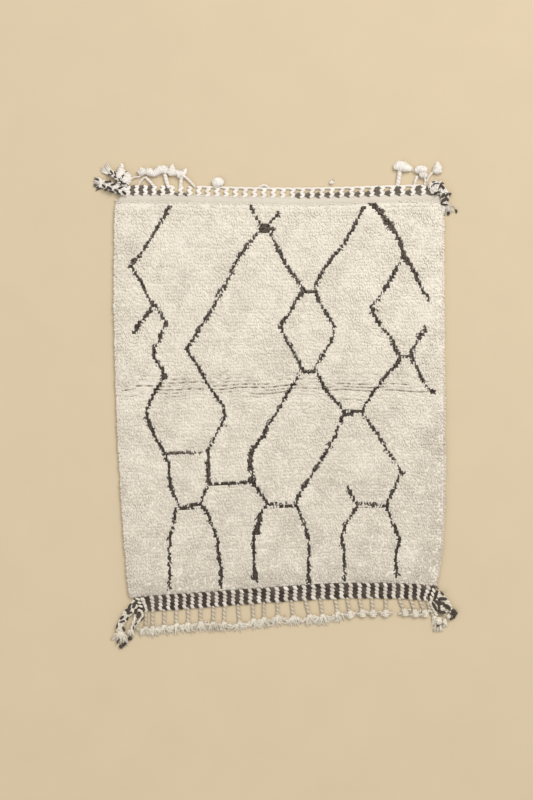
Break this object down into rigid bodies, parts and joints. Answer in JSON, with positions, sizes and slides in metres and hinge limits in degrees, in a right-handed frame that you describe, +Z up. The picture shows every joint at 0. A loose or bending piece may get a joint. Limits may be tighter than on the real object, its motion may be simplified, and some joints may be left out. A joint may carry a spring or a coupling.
{
  "type": "beni ourain rug",
  "caption": "Flat hand-knotted wool rug with a cream pile, dark lozenge lines, twined black and white end bands, knotted fringes and plaited corner tassels.",
  "frame": {"origin": "centre of the pile's flat underside, on the floor", "axes": "+Z up from the floor, out of the pile; +Y along the rug to its top end; +X across it to the right"},
  "size_m": [1.1357, 1.5034, 0.0222],
  "materials": {
    "cream_pile": "soft matt wool pile",
    "twined_wool": "matt twined wool, black with white",
    "cream_fringe": "matt wrapped and twisted wool",
    "plaited_wool": "matt plaited wool, black with white"
  },
  "bodies": {
    "root": {"rug_pile": "cream_pile", "bottom_band": "twined_wool", "top_band": "cream_fringe", "corner_tassel_top_left": "plaited_wool", "corner_tassel_top_right": "plaited_wool", "corner_tassel_bottom_left": "plaited_wool", "corner_tassel_bottom_right": "plaited_wool"}
  },
  "joints": []
}
